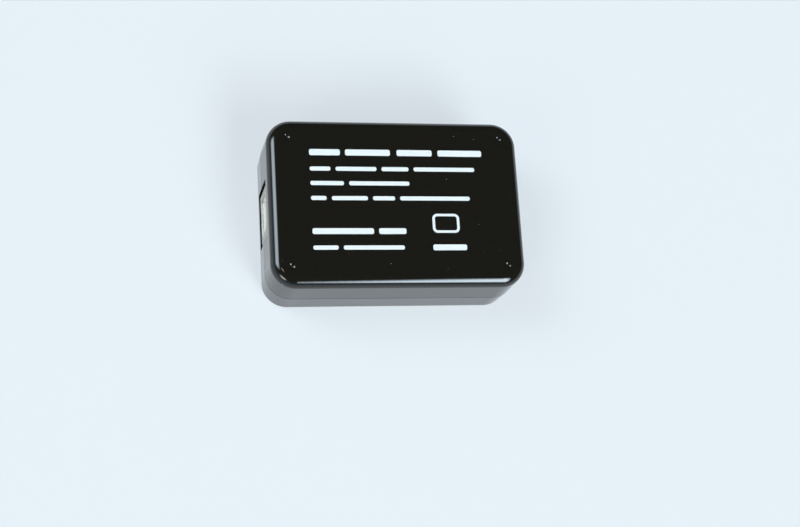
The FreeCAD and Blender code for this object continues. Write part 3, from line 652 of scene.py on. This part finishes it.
class Finishes:
    """Every finish of the isolator, each made into a material once.

    A row of print has its level, its height, and the left end and length of each bar, in millimetres.
    """

    rows: tuple[tuple[float, float, tuple[Span, ...]], ...] = (
        (11.9, 1.5, ((-20.1, 7.2), (-11.7, 10.6), (0.5, 8.4), (10.3, 10.6))),
        (7.9, 1.0, ((-20.1, 4.8), (-14.1, 9.6), (-3.3, 6.4), (4.3, 14.6))),
        (4.4, 1.0, ((-20.1, 7.8), (-11.1, 14.2))),
        (0.8, 1.0, ((-20.1, 3.6), (-15.3, 8.4), (-5.7, 5.2), (0.7, 16.6))),
        (-7.1, 1.4, ((-20.1, 14.2), (-4.7, 6.4))),
        (-11.0, 1.0, ((-20.1, 5.8), (-13.1, 14.2))),
        (-11.0, 1.4, ((7.8, 8.0),)),
    )
    frame_bar: Bar = Bar(8.0, -5.2, 6.4, 4.6, corner=1.2, line=0.6)
    case_colour: Triple = (0.0058, 0.0048, 0.0032)

    def __init__(self) -> None:
        """Makes a material of every finish."""
        listed = {**self._case(), **self._metals(), **self._mouldings(), **self._board()}
        self.slots = {name: finish.slot for name, finish in listed.items()}
        self.materials = {name: finish.material(name) for name, finish in listed.items()}

    def _case(self) -> dict[str, Finish]:
        """Lists the case's finishes; the lid is the only piece with print.

        Returns:
            The finishes by their names.
        """
        bars = [Bar(left, level, length, high) for level, high, words in self.rows for left, length in words]
        return {
            "lid": GlossBlack("case_black", self.case_colour, bars=(*bars, self.frame_bar)),
            "case_black": GlossBlack("case_black", self.case_colour),
        }

    def _metals(self) -> dict[str, Finish]:
        """Lists the metal finishes, each with its colour, tarnish and roughness.

        Returns:
            The finishes by their names.
        """
        loose = Axis.NONE
        return {
            "plated_steel": SheetMetal(
                "plated_steel", (0.62, 0.63, 0.64), (0.36, 0.35, 0.31), 0.3, grain=loose, grain_per_mm=9.0
            ),
            "socket_steel": SheetMetal("socket_steel", (0.47, 0.455, 0.43), (0.38, 0.36, 0.33), 0.33),
            "contact_gold": SheetMetal("contact_gold", (0.93, 0.68, 0.27), (0.70, 0.60, 0.42), 0.2),
            "tinned_leads": SheetMetal(
                "tinned_leads", (0.66, 0.66, 0.67), (0.42, 0.42, 0.43), 0.34, grain=loose, grain_per_mm=7.0
            ),
            "solder": SheetMetal(
                "tinned_leads",
                (0.72, 0.72, 0.73),
                (0.52, 0.52, 0.53),
                0.2,
                grain=loose,
                grain_per_mm=5.0,
                patches_per_mm=1.6,
            ),
            "can_aluminium": SheetMetal(
                "can_aluminium", (0.77, 0.78, 0.79), (0.60, 0.61, 0.62), 0.33, grain=Axis.ALONG_Z
            ),
        }

    def _mouldings(self) -> dict[str, Finish]:
        """Lists the moulded, potted and sintered finishes, each with its colours, roughness and texture.

        Returns:
            The finishes by their names.
        """
        return {
            "socket_ivory": Moulding("socket_ivory", (0.95, 0.93, 0.86), (0.91, 0.88, 0.79), 0.42),
            "chip_black": Moulding(
                "chip_black", (0.020, 0.020, 0.021), (0.030, 0.029, 0.028), 0.55, 9.0, 0.02, grit=0.05
            ),
            "module_black": Moulding(
                "module_black", (0.016, 0.016, 0.017), (0.024, 0.024, 0.025), 0.4, 5.0, 0.03
            ),
            "potting_grey": Moulding(
                "potting_grey", (0.11, 0.11, 0.115), (0.15, 0.15, 0.15), 0.5, 2.0, 0.05, grit=0.2
            ),
            "base_black": Moulding("base_black", (0.018, 0.018, 0.018), (0.027, 0.026, 0.025), 0.48),
            "ferrite_grey": Moulding(
                "ferrite_grey",
                (0.060, 0.060, 0.063),
                (0.085, 0.083, 0.08),
                0.6,
                10.0,
                0.02,
                grit=0.3,
                grit_colour=(0.12, 0.12, 0.125),
            ),
            "fuse_green": Moulding("fuse_green", (0.025, 0.13, 0.060), (0.035, 0.17, 0.08), 0.4, 3.0),
            "ceramic_tan": Moulding(
                "ceramic_tan",
                (0.36, 0.25, 0.15),
                (0.42, 0.31, 0.20),
                0.4,
                9.0,
                0.008,
                grit=0.1,
                grit_colour=(0.5, 0.4, 0.28),
            ),
            "resistor_black": Moulding(
                "resistor_black", (0.018, 0.018, 0.020), (0.025, 0.025, 0.028), 0.3, 4.0
            ),
        }

    def _board(self) -> dict[str, Finish]:
        """Lists the circuit board's finish."""
        green = (0.010, 0.075, 0.030)
        return {"board_green": BoardLacquer("board_green", green, (0.03, 0.16, 0.055), (0.50, 0.43, 0.27))}

    def dress(self, node: str, finish: str) -> None:
        """Gives a carried-over node its finish, in every material slot that it has.

        Args:
            node: the node's name.
            finish: the finish's name in the list.
        """
        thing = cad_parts[node]
        for slot in thing.material_slots:
            slot.material = self.materials[finish]
        LOG.info("%s: %s", node, finish)

    def add(self, name: str, net: bmesh.types.BMesh, finish: str) -> None:
        """Makes a piece of its own out of a mesh, with its finish, riding on the body.

        Args:
            name: the piece's name.
            net: the mesh, which is used up.
            finish: the finish's name in the list.
        """
        mesh = bpy.data.meshes.new(name)
        net.to_mesh(mesh)
        net.free()
        mesh.materials.append(self.materials[finish])
        thing = bpy.data.objects.new(name, mesh)
        bpy.context.scene.collection.objects.link(thing)
        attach(thing, BODY)
        LOG.info("%s: %s, %d faces", name, finish, len(mesh.polygons))


@dataclass
class SubAssembly:
    """Some of the isolator's nodes, with the finish of each."""

    finishes: Finishes
    worn: dict[str, str] = field(default_factory=dict)

    def build(self) -> None:
        """Makes the pieces that the solids leave out; most have none."""

    def dress(self) -> None:
        """Gives each node its finish."""
        for node, finish in self.worn.items():
            self.finishes.dress(node, finish)


@dataclass
class Case(SubAssembly):
    """The two covers and the four screws that hold them shut."""

    worn: dict[str, str] = field(
        default_factory=lambda: {
            "top_cover": "lid",
            "bottom_cover": "case_black",
            "case_screws": "plated_steel",
        }
    )


@dataclass
class Sockets(SubAssembly):
    """The computer's socket and the device's socket."""

    worn: dict[str, str] = field(
        default_factory=lambda: {
            f"type_{end}_{part}": finish
            for end in "ba"
            for part, finish in (
                ("shell", "socket_steel"), ("insulator", "socket_ivory"), ("contacts", "contact_gold")
            )
        }
    )


@dataclass
class Board(SubAssembly):
    """The circuit board and what is soldered to it, apart from the sockets."""

    worn: dict[str, str] = field(
        default_factory=lambda: {
            "circuit_board": "board_green",
            "isolator_chip": "chip_black",
            "isolator_leads": "tinned_leads",
            "converter_case": "module_black",
            "converter_potting": "potting_grey",
            "converter_pins": "tinned_leads",
            "input_capacitor_can": "can_aluminium",
            "input_capacitor_base": "base_black",
            "output_capacitor_can": "can_aluminium",
            "output_capacitor_base": "base_black",
            "capacitor_tabs": "tinned_leads",
            "surge_arrays": "chip_black",
            "surge_array_leads": "tinned_leads",
            "line_choke": "ferrite_grey",
            "resettable_fuse": "fuse_green",
            "ferrite_beads": "ferrite_grey",
            "ceramic_capacitors": "ceramic_tan",
            "chip_resistors": "resistor_black",
            "chip_end_caps": "tinned_leads",
        }
    )


@dataclass(frozen=True)
class Footprint:
    """A level rectangle, as its least and greatest x and y."""

    west: float
    east: float
    south: float
    north: float

    @property
    def middle(self) -> Span:
        """The x and y of its centre."""
        return (self.west + self.east) / 2, (self.south + self.north) / 2

    def grown(self, out_x: Span, out_y: float) -> "Footprint":
        """The rectangle with its west and its east side moved out, and both others by out_y."""
        return Footprint(self.west - out_x[0], self.east + out_x[1], self.south - out_y, self.north + out_y)

    def towards(self, other: "Footprint", share: float) -> "Footprint":
        """The rectangle part of the way to another.

        Args:
            other: the other rectangle.
            share: how far, from 0 for this one to 1 for the other.

        Returns:
            The rectangle between them.
        """
        ours = (self.west, self.east, self.south, self.north)
        theirs = (other.west, other.east, other.south, other.north)
        return Footprint(*(one + (two - one) * share for one, two in zip(ours, theirs)))

    def ring(self, level: float, squareness: float, count: int) -> list[Vector]:
        """Points round the rectangle.

        Args:
            level: their height.
            squareness: 0 for an ellipse, towards 1 for sharp corners.
            count: how many points.

        Returns:
            The points, turning from +X to +Y.
        """
        points = []
        x, y = self.middle
        long, wide = self.east - self.west, self.north - self.south
        for step in range(count):
            turn = 2 * math.pi * step / count
            along, across = (
                math.copysign(abs(part) ** (1 - squareness), part)
                for part in (math.cos(turn), math.sin(turn))
            )
            points.append(Vector((x + along * long / 2, y + across * wide / 2, level)))
        return points


@dataclass
class Solder(SubAssembly):
    """The solder round every foot on the board and every pin under it."""

    board_top: float = 4.0 * MM
    board_bottom: float = 2.4 * MM
    pin_ends: float = 1.7 * MM
    pin_climb: float = 0.5 * MM
    pin_pad: float = 0.42 * MM
    toe: float = 0.2 * MM
    flank: float = 0.08 * MM
    shown: float = 0.9 * MM
    cling: float = 0.01 * MM
    widest_round: float = 2.0 * MM
    hollow: float = 2.4
    pad_squareness: float = 0.45
    squareness_gained: float = 0.35
    rings: int = 6
    ring_points: int = 24
    weld: float = 0.001 * MM
    level_slack: float = 0.002 * MM
    row_slack: float = 0.05 * MM
    climbs: dict[str, float] = field(
        default_factory=lambda: {
            "chip_end_caps": 0.3 * MM,
            "isolator_leads": 0.19 * MM,
            "surge_array_leads": 0.11 * MM,
            "capacitor_tabs": 0.16 * MM,
        }
    )
    through: tuple[str, ...] = (
        "converter_pins", "type_b_contacts", "type_a_contacts", "type_b_shell", "type_a_shell"
    )

    def _footprints(self, node: str, level: float) -> list[Footprint]:
        """Finds where a node's feet or pin ends lie.

        Args:
            node: the node's name.
            level: the height that the feet or ends are at.

        Returns:
            One rectangle for each foot or end.
        """
        net = bmesh.new()
        net.from_mesh(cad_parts[node].data)
        bmesh.ops.remove_doubles(net, verts=net.verts, dist=self.weld)
        low = {
            face
            for face in net.faces
            if all(abs(corner.co.z - level) < self.level_slack for corner in face.verts)
        }
        found = []
        while low:
            waiting = [low.pop()]
            xs: list[float] = []
            ys: list[float] = []
            while waiting:
                face = waiting.pop()
                xs += [corner.co.x for corner in face.verts]
                ys += [corner.co.y for corner in face.verts]
                beside = {other for edge in face.edges for other in edge.link_faces} & low
                low -= beside
                waiting.extend(beside)
            found.append(Footprint(min(xs), max(xs), min(ys), max(ys)))
        net.free()
        return found

    def _fillet(self, net: bmesh.types.BMesh, pad: Footprint, part: Footprint, levels: Span) -> None:
        """Adds one joint: a hollow-sided skirt from a pad up to what it holds.

        Args:
            net: the mesh that it is added to.
            pad: the pad's outline.
            part: the outline of the foot or pin.
            levels: the heights of the pad and of the skirt's other end.
        """
        rows = []
        for step in range(self.rings):
            climbed = step / (self.rings - 1)
            outline = part.towards(pad, (1 - climbed) ** self.hollow)
            level = levels[0] + (levels[1] - levels[0]) * climbed
            squareness = self.pad_squareness + self.squareness_gained * climbed
            points = outline.ring(level, squareness, self.ring_points)
            rows.append([net.verts.new(point) for point in points])
        for lower, upper in zip(rows, rows[1:]):
            for here in range(self.ring_points):
                after = (here + 1) % self.ring_points
                face = net.faces.new((lower[here], lower[after], upper[after], upper[here]))
                face.smooth = True
        net.faces.new(rows[0])
        net.faces.new(rows[-1])

    def _surface_joints(self, net: bmesh.types.BMesh) -> None:
        """Adds a joint at each foot on the board, drawn out past the foot's outer end.

        Args:
            net: the mesh that they are added to.
        """
        for node, climb in self.climbs.items():
            feet = self._footprints(node, self.board_top)
            for foot in feet:
                x, y = foot.middle
                others = [other.middle for other in feet if other != foot]
                row = [place for place, across in others if abs(across - y) < self.row_slack]
                partner = min(row, key=lambda place: abs(place - x))
                length = min(self.shown, foot.east - foot.west)
                if partner < x:
                    held = Footprint(foot.east - length, foot.east, foot.south, foot.north)
                    reach = (0.0, self.toe)
                else:
                    held = Footprint(foot.west, foot.west + length, foot.south, foot.north)
                    reach = (self.toe, 0.0)
                held = held.grown((self.cling, self.cling), self.cling)
                levels = (self.board_top, self.board_top + climb)
                self._fillet(net, held.grown(reach, self.flank), held, levels)

    def _pin_joints(self, net: bmesh.types.BMesh) -> None:
        """Adds a joint round each pin under the board, on a round pad where the pin isn't wide.

        Args:
            net: the mesh that they are added to.
        """
        for node in self.through:
            for end in self._footprints(node, self.pin_ends):
                pin = end.grown((self.cling, self.cling), self.cling)
                wide = max(pin.east - pin.west, pin.north - pin.south)
                round_pad = wide < self.widest_round
                out_x = self.pin_pad + (wide - (pin.east - pin.west)) / 2 * round_pad
                out_y = self.pin_pad + (wide - (pin.north - pin.south)) / 2 * round_pad
                levels = (self.board_bottom, self.board_bottom - self.pin_climb)
                self._fillet(net, pin.grown((out_x, out_x), out_y), pin, levels)

    def build(self) -> None:
        """Makes the joints above the board one piece and those under it another."""
        for name, joints in (("board_solder", self._surface_joints), ("pin_solder", self._pin_joints)):
            net = bmesh.new()
            joints(net)
            bmesh.ops.recalc_face_normals(net, faces=net.faces)
            self.finishes.add(name, net, "solder")


@dataclass
class Lamp:
    """A soft lamp: where it stands, how wide and high it looks, its brightness and its soft rim.

    Its angles are in degrees, its azimuth is turned from +X, and away is in metres. It may be dark
    above a slanted line: fade holds how fast that line climbs across the lamp, and the shares of the
    lamp's height at which it is dark and at which it is full, where its width starts.
    """

    name: str
    azimuth: float
    elevation: float
    wide: float
    high: float
    radiance: float
    colour: Triple
    rim: float
    fade: Triple | None = None
    away: float = 4.0

    def build(self) -> None:
        """Adds the lamp, turned to the object, fading towards its rim."""
        wide = 2 * self.away * math.tan(math.radians(self.wide) / 2)
        high = 2 * self.away * math.tan(math.radians(self.high) / 2)
        turn = math.radians(self.azimuth)
        lift = math.radians(self.elevation)
        level = math.cos(lift)
        direction = Vector((math.cos(turn) * level, math.sin(turn) * level, math.sin(lift)))
        light = bpy.data.lights.new(self.name, "AREA")
        light.shape = "ELLIPSE"
        light.size = wide
        light.size_y = high
        light.color = self.colour
        area = wide * high * math.pi / 4
        light.energy = self.radiance * area * math.pi
        light.use_nodes = True
        recipe = Recipe(light.node_tree)
        spot = recipe.node("ShaderNodeNewGeometry", output="Parametric")
        edge = 0.5
        off_centre = recipe.vector("SUBTRACT", spot, (edge, edge, 0.0))
        strength = recipe.vector("LENGTH", off_centre, output="Value").rises(edge, edge * self.rim)
        if self.fade:
            slope, dark, full = self.fade
            across, up, _ = recipe.parts(spot)
            strength = strength * (up - across * slope).rises(dark, full)
        recipe.finish_with("ShaderNodeEmission", {"Strength": strength}, "ShaderNodeOutputLight")
        thing = bpy.data.objects.new(self.name, light)
        thing.location = direction * self.away
        thing.rotation_euler = direction.to_track_quat("Z", "Y").to_euler()
        bpy.context.scene.collection.objects.link(thing)


@dataclass
class Studio:
    """The pale floor, the lamps and the dim surroundings.

    A height in the surroundings is the sine of the angle above the horizon.
    """

    floor_side: float = 3.0
    floor_level: float = -0.02 * MM
    floor_colour: Triple = (0.81, 0.80, 0.785)
    floor_shade: float = 0.985
    floor_rough: float = 0.9
    floor_specular: float = 0.1
    backdrop: Triple = (0.765, 0.832, 0.892)
    backdrop_share: float = 0.7
    horizon: Triple = (0.60, 0.65, 0.70)
    horizon_height: Span = (0.2, 0.04)
    overhead: Triple = (0.069, 0.073, 0.069)
    glow: Triple = (0.45, 0.68, 0.98)
    glow_height: Span = (0.6, 0.05)
    glow_spread: Span = (0.1, 0.7)
    lit_side: Triple = (-0.8, -0.6, 0.0)
    lamps: tuple[Lamp, ...] = (
        Lamp("window", 156.0, 47.0, 42.0, 50.0, 8.3, (0.76, 0.91, 1.0), rim=0.3),
        Lamp(
            "reader_side", -65.0, 45.0, 42.0, 60.0, 15.8, (0.74, 0.89, 1.0), rim=0.35, fade=(0.92, 0.32, 0.06)
        ),
        Lamp("front_corner", -137.0, 33.0, 34.0, 28.0, 8.2, (1.0, 0.97, 0.93), rim=0.2),
        Lamp("ceiling", 125.0, 81.0, 6.0, 6.0, 12.0, (1.0, 0.74, 0.5), rim=0.35),
    )

    def _floor(self) -> None:
        """Lays the floor a hair below the base, and clear from under, so that the base shows from there."""
        half = self.floor_side / 2
        mesh = bpy.data.meshes.new("floor")
        net = bmesh.new()
        turns = ((-1, -1), (1, -1), (1, 1), (-1, 1))
        net.faces.new([net.verts.new((x * half, y * half, self.floor_level)) for x, y in turns])
        net.to_mesh(mesh)
        net.free()
        thing = bpy.data.objects.new("floor", mesh)
        bpy.context.scene.collection.objects.link(thing)
        made = bpy.data.materials.new("floor_paint")
        made.use_nodes = True
        recipe = Recipe(made.node_tree)
        mottle = recipe.noise(per_mm=0.02, detail=3.0)
        sockets = {
            "Base Color": recipe.mix(mottle, self.floor_colour, shaded(self.floor_colour, self.floor_shade)),
            "Roughness": self.floor_rough,
            "Specular IOR Level": self.floor_specular,
        }
        paint = recipe.node("ShaderNodeBsdfPrincipled", None, sockets)
        seen = recipe.node("ShaderNodeLightPath", output="Is Camera Ray")
        rays = seen.socket.node.outputs
        for name in ("Is Glossy Ray", "Is Transmission Ray"):
            seen = seen.either(Wire(recipe, rays[name]))
        pale = recipe.node("ShaderNodeEmission", None, {"Color": self.backdrop})
        share = seen * self.backdrop_share
        backdrop = recipe.node("ShaderNodeMixShader", None, {0: share, 1: paint, 2: pale})
        below = recipe.node("ShaderNodeNewGeometry", output="Backfacing")
        clear = recipe.node("ShaderNodeBsdfTransparent")
        recipe.finish_with("ShaderNodeMixShader", {0: below, 1: backdrop, 2: clear})
        mesh.materials.append(made)
        thing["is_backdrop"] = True
        LOG.info("floor: %.1f m square", self.floor_side)

    def _surroundings(self) -> None:
        """Pale at the horizon and below it, dim overhead, with a soft glow on the lit side."""
        world = bpy.data.worlds.new("surroundings")
        bpy.context.scene.world = world
        world.use_nodes = True
        recipe = Recipe(world.node_tree)
        outward = recipe.node("ShaderNodeTexCoord", output="Generated")
        height = recipe.parts(outward)[2]
        lit = recipe.vector("DOT_PRODUCT", outward, self.lit_side, output="Value")
        glowing = lit.rises(*self.glow_spread) * height.rises(*self.glow_height)
        sky = recipe.mix(glowing, self.overhead, self.glow)
        sky = recipe.mix(height.rises(*self.horizon_height), sky, self.horizon)
        recipe.finish_with("ShaderNodeBackground", {"Color": sky}, "ShaderNodeOutputWorld")

    def build(self) -> None:
        """Lays the floor, then lights it."""
        self._floor()
        self._surroundings()
        for lamp in self.lamps:
            lamp.build()
            LOG.info("%s: a soft lamp", lamp.name)


@dataclass
class Viewpoint:
    """The camera, as the photograph was taken: where it looks from, its roll and its lens.

    Its angles are in degrees, and its azimuth is turned from -Y. The lens and the sensor are in
    millimetres, and its distances in metres.
    """

    azimuth: float = -38.974
    elevation: float = 70.556
    roll: float = 37.092
    away: float = 0.336525
    lens: float = 66.33
    sensor: float = 36.0
    nearest: float = 0.01
    farthest: float = 20.0
    target: Triple = (-0.000299, -0.014809, 0.019793)

    def build(self) -> None:
        """Adds the camera and makes it the scene's."""
        turn = math.radians(self.azimuth)
        lift = math.radians(self.elevation)
        tip = math.radians(self.roll)
        flat = math.cos(lift)
        back = Vector((math.sin(turn) * flat, -math.cos(turn) * flat, math.sin(lift)))
        level = (-back).cross(Vector((0.0, 0.0, 1.0))).normalized()
        down = (-back).cross(level)
        right = math.cos(tip) * level - math.sin(tip) * down
        rolled_down = math.sin(tip) * level + math.cos(tip) * down
        lens = bpy.data.cameras.new("viewpoint")
        lens.lens = self.lens
        lens.sensor_width = self.sensor
        lens.clip_start = self.nearest
        lens.clip_end = self.farthest
        thing = bpy.data.objects.new("viewpoint", lens)
        turned = Matrix((right, -rolled_down, back)).transposed().to_4x4()
        thing.matrix_world = Matrix.Translation(Vector(self.target) + back * self.away) @ turned
        bpy.context.scene.collection.objects.link(thing)
        bpy.context.scene.camera = thing
        LOG.info("viewpoint: %.0f mm away", self.away / MM)


def corners_now() -> list[list[float]]:
    """The shown object's lowest and highest corners, as plain lists."""
    bpy.context.view_layer.update()
    return [list(corner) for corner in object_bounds()]


def main() -> None:
    """Builds and dresses everything in order."""
    logging.basicConfig(level=logging.INFO, format="%(message)s")
    before = corners_now()
    Viewpoint().build()
    Studio().build()
    finishes = Finishes()
    for part in (Case(finishes), Sockets(finishes), Board(finishes), Solder(finishes)):
        part.build()
        part.dress()
    bpy.context.scene.view_settings.view_transform = "Standard"
    {"cad": before, "visual": corners_now()}


if __name__ == "__main__":
    main()
